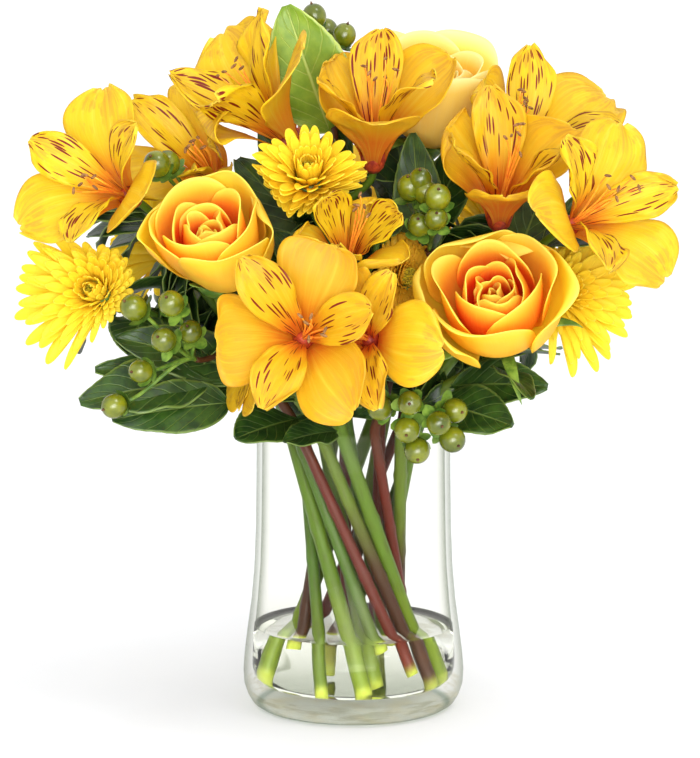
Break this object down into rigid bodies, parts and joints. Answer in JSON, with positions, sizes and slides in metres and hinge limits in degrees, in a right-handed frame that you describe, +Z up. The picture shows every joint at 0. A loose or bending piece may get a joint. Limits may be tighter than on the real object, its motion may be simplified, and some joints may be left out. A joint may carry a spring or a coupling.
{
  "type": "vase of yellow flowers",
  "caption": "Clear glass vase, bellied at its thick foot, part filled with water and holding a full bunch of yellow roses, alstroemerias and chrysanthemums with green berries and leaves.",
  "frame": {"origin": "centre of the vase's flat foot, on the surface that it stands on", "axes": "+Z up along the vase's axis; the bouquet's face, as pictured, looks along -Y; +X is to the right seen from the front"},
  "size_m": [0.3229, 0.3184, 0.3656],
  "materials": {
    "glass": "gloss",
    "water": "gloss",
    "rose_petal": "matte",
    "alstroemeria_petal": "matte",
    "chrysanthemum_petal": "matte",
    "stem": "satin",
    "hypericum": "satin"
  },
  "bodies": {
    "root": {"rose_left": "rose_petal", "rose_right": "rose_petal", "rose_top": "rose_petal", "rose_back": "rose_petal", "alstroemeria_front": "alstroemeria_petal", "alstroemeria_centre": "alstroemeria_petal", "alstroemeria_middle": "alstroemeria_petal", "alstroemeria_low": "alstroemeria_petal", "alstroemeria_left": "alstroemeria_petal", "alstroemeria_left_rear": "alstroemeria_petal", "alstroemeria_top_left": "alstroemeria_petal", "alstroemeria_top": "alstroemeria_petal", "alstroemeria_right_top": "alstroemeria_petal", "alstroemeria_right_high": "alstroemeria_petal", "alstroemeria_right": "alstroemeria_petal", "alstroemeria_back_left": "alstroemeria_petal", "alstroemeria_back": "alstroemeria_petal", "alstroemeria_back_top": "alstroemeria_petal", "chrysanthemum_left": "chrysanthemum_petal", "chrysanthemum_middle": "chrysanthemum_petal", "chrysanthemum_bud": "chrysanthemum_petal", "chrysanthemum_low": "chrysanthemum_petal", "chrysanthemum_right": "chrysanthemum_petal", "chrysanthemum_back_left": "chrysanthemum_petal", "chrysanthemum_back_right": "chrysanthemum_petal", "stem_alstroemeria_front": "stem", "hypericum_right": "hypericum", "stem_rose_right": "stem", "stem_alstroemeria_right": "stem", "stem_chrysanthemum_right": "stem", "hypericum_back": "hypericum", "stem_alstroemeria_back": "stem", "stem_rose_back": "stem", "stem_chrysanthemum_back": "stem", "stem_alstroemeria_left": "stem", "stem_chrysanthemum_left": "stem", "hypericum_left": "hypericum", "stem_rose_left": "stem", "stem_chrysanthemum_middle": "stem", "hypericum_centre": "hypericum", "stem_rose_top": "stem", "hypericum_top": "hypericum", "stem_alstroemeria_top": "stem", "vase": "glass", "water": "water"}
  },
  "joints": []
}
